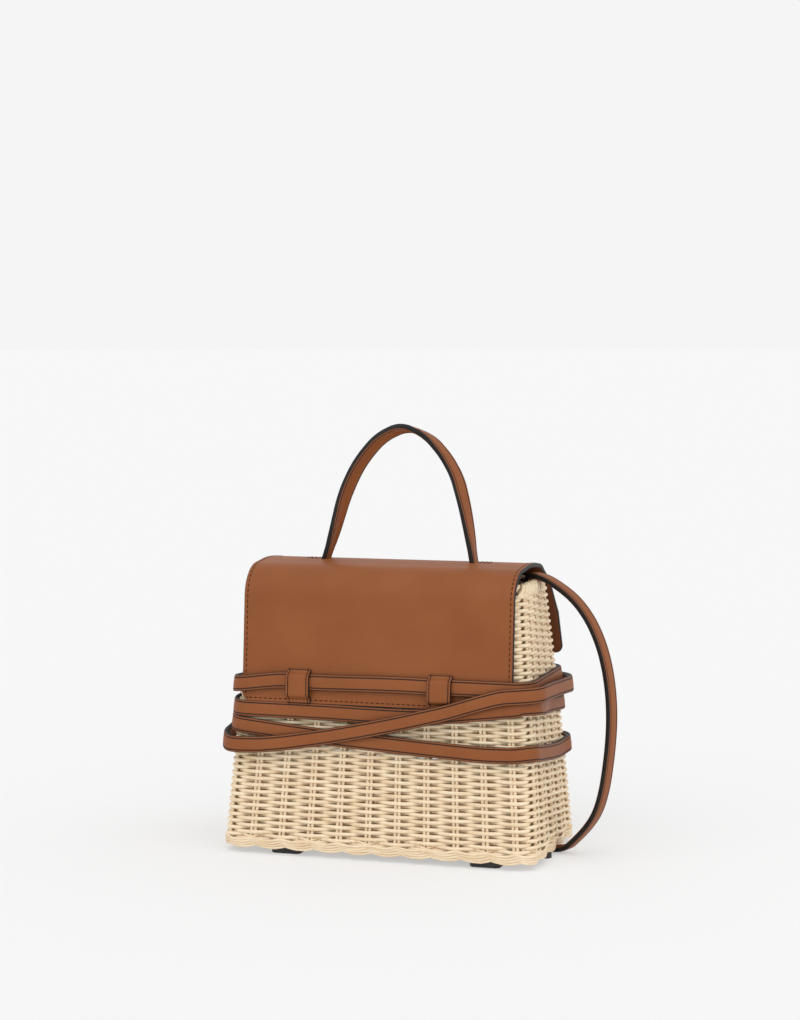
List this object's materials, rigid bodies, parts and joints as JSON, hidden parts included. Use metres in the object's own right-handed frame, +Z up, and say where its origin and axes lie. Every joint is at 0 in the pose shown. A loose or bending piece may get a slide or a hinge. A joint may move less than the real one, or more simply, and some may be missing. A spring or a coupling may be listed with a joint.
{
  "type": "basket box bag",
  "caption": "Woven cane box bag with a leather flap, top handle, shoulder strap and a long belt wound round the body.",
  "frame": {"origin": "on the floor, under the middle of the basket", "axes": "+X to the bag's right, seen from its front; +Y to its back; +Z up"},
  "size_m": [0.3227, 0.2099, 0.3373],
  "materials": {
    "cane": "satin",
    "leather": "semi-gloss",
    "pad_leather": "matt"
  },
  "bodies": {
    "root": {"basket_wall": "cane", "rim_border": "cane", "foot_border": "cane", "base_panel": "cane", "flap": "leather", "top_handle": "leather", "loop_left": "leather", "loop_right": "leather", "wrap_belt": "leather", "shoulder_strap": "leather", "foot_front_left": "pad_leather", "foot_front_right": "pad_leather", "foot_back_right": "pad_leather", "foot_back_left": "pad_leather"}
  },
  "joints": []
}
